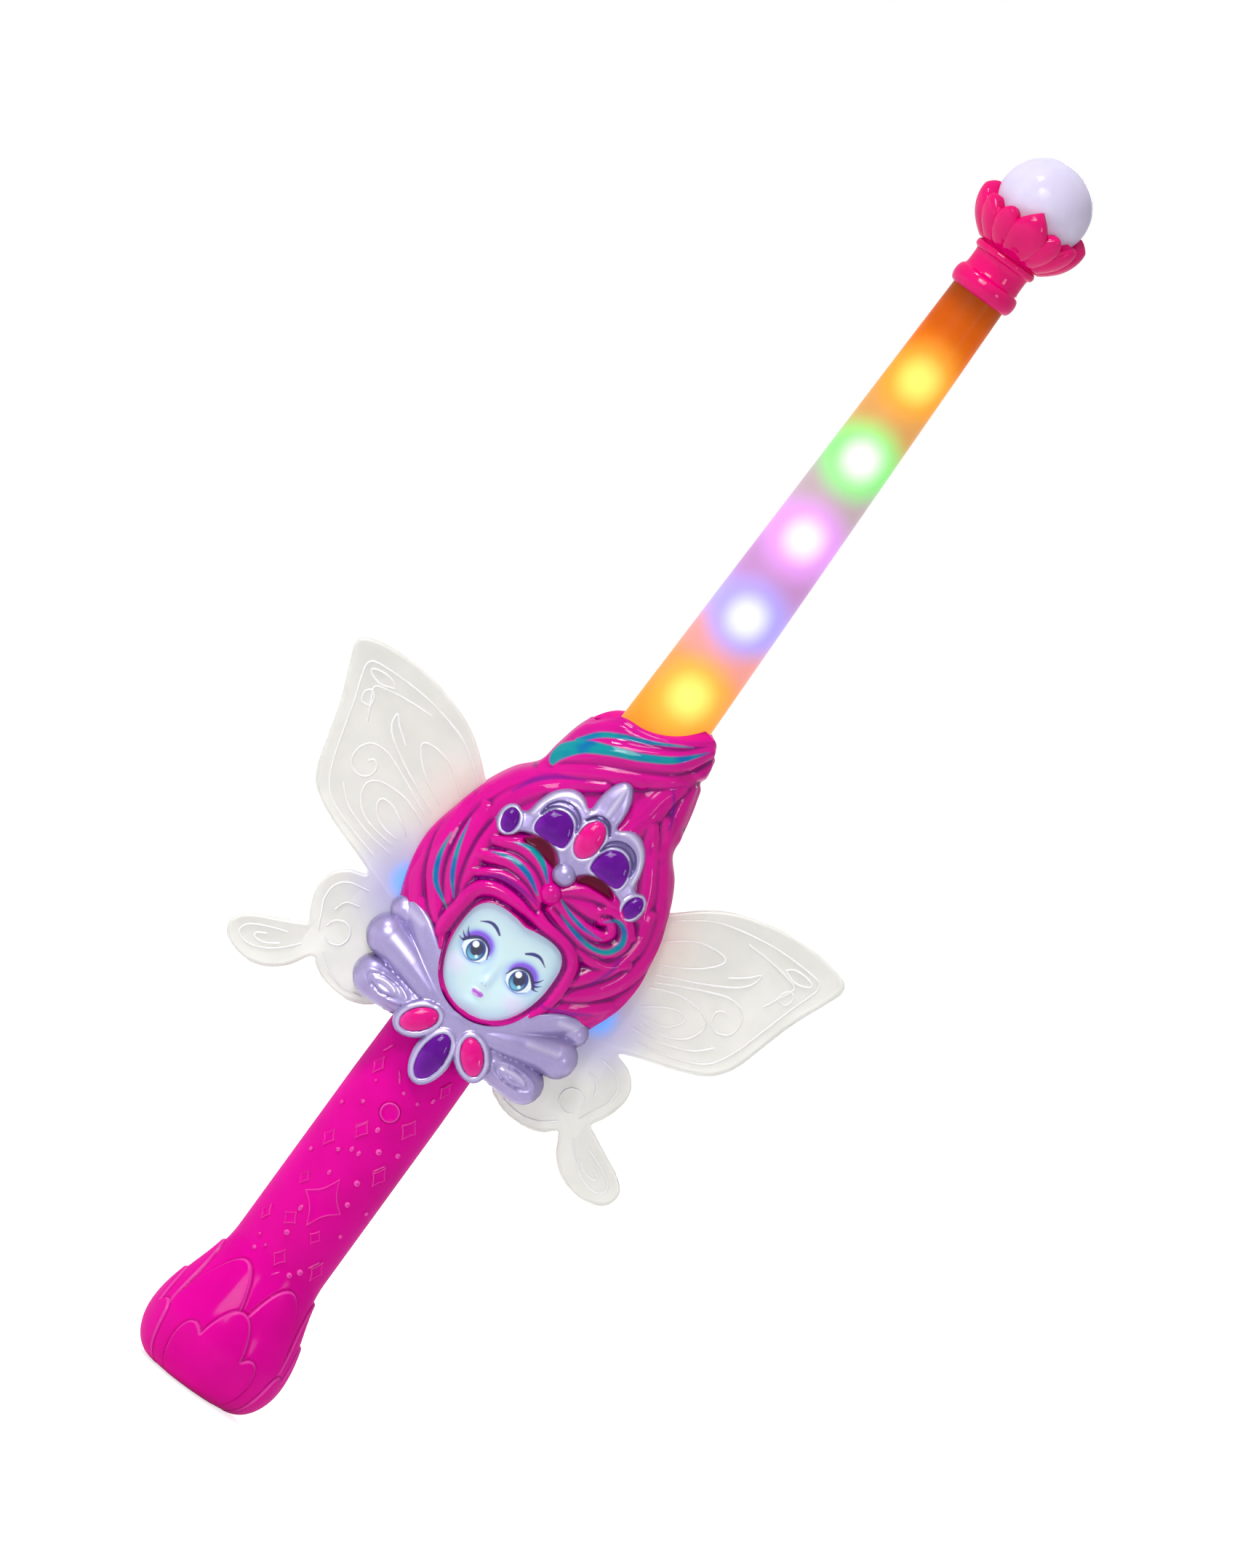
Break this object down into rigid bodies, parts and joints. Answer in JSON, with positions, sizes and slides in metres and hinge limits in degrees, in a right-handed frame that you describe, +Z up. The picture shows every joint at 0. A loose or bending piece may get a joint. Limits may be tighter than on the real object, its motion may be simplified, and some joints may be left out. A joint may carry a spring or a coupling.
{
  "type": "toy magic wand",
  "caption": "Light-up fairy wand with a bud-shaped handle end, push button, winged doll head with tiara and collar, glowing tapered tube and a lotus finial holding a ball.",
  "frame": {"origin": "middle of the flat foot under the bud pommel, on the wand's axis", "axes": "+Z runs up the wand from the foot to the ball, the face and button look along -Y, and +X is to the right when the face is seen"},
  "size_m": [0.172, 0.0458, 0.43],
  "materials": {
    "handle_plastic": "semi-gloss moulded pink plastic",
    "hair_plastic": "glossy moulded pink plastic with painted streaks",
    "lilac_plastic": "pearly lilac plastic",
    "purple_gem": "polished purple plastic gem",
    "pink_gem": "polished pink plastic gem",
    "wing_plastic": "frosted translucent plastic",
    "face_plastic": "frosted pale blue plastic with painted features",
    "tube_plastic": "milky diffuser plastic, lit from inside",
    "finial_plastic": "glossy hot pink plastic",
    "ball_plastic": "milky lavender plastic",
    "steel": "plated steel",
    "dark_plastic": "matte dark plastic",
    "cell_sleeve": "printed metal sleeve",
    "circuit_board": "solder mask on glass fibre board",
    "lamp_lens": "clear lamp lens",
    "wire_red": "red insulated wire",
    "wire_black": "black insulated wire",
    "wire_blue": "blue insulated wire",
    "wire_yellow": "yellow insulated wire"
  },
  "bodies": {
    "wand": {"handle_front": "handle_plastic", "handle_back": "handle_plastic", "handle_screws": "steel", "battery_cradle": "dark_plastic", "battery_cells": "cell_sleeve", "contact_springs": "steel", "contact_plates": "steel", "battery_lead_positive": "wire_red", "battery_lead_negative": "wire_black", "switch_body": "dark_plastic", "main_board": "circuit_board", "control_chip": "dark_plastic", "board_screws": "steel", "head_front": "hair_plastic", "head_back": "hair_plastic", "head_screws": "steel", "face_panel": "face_plastic", "head_light_board": "circuit_board", "face_lamp": "lamp_lens", "wing_lamps": "lamp_lens", "head_leads": "wire_blue", "strip_leads": "wire_yellow", "tiara": "lilac_plastic", "tiara_purple_gems": "purple_gem", "tiara_pink_gem": "pink_gem", "collar": "lilac_plastic", "collar_pink_gems": "pink_gem", "collar_purple_gem": "purple_gem", "left_wing": "wing_plastic", "right_wing": "wing_plastic", "light_tube": "tube_plastic", "tube_plug": "dark_plastic", "lamp_strip": "circuit_board", "strip_lamps": "lamp_lens", "finial_cup": "finial_plastic", "finial_ball": "ball_plastic"},
    "button": {"button_cap": "handle_plastic", "switch_plunger": "dark_plastic"},
    "battery_door": {"battery_door": "handle_plastic"},
    "door_screw": {"door_screw": "steel"}
  },
  "joints": [
    {"name": "button_press", "type": "slide", "parent": "wand", "child": "button", "axis": [0, 1, 0], "range_m": [0, 0.0008], "stiffness_N_per_m": 1200, "springref_m": -0.0005},
    {"name": "door_swing", "type": "hinge", "parent": "wand", "child": "battery_door", "pos_m": [0, 0.0153, 0.04165], "axis": [-1, 0, 0], "range_deg": [0, 75]},
    {"name": "door_screw_turn", "type": "hinge", "parent": "battery_door", "child": "door_screw", "pos_m": [0, 0.014, 0.0969], "axis": [0, 1, 0], "continuous": true}
  ]
}
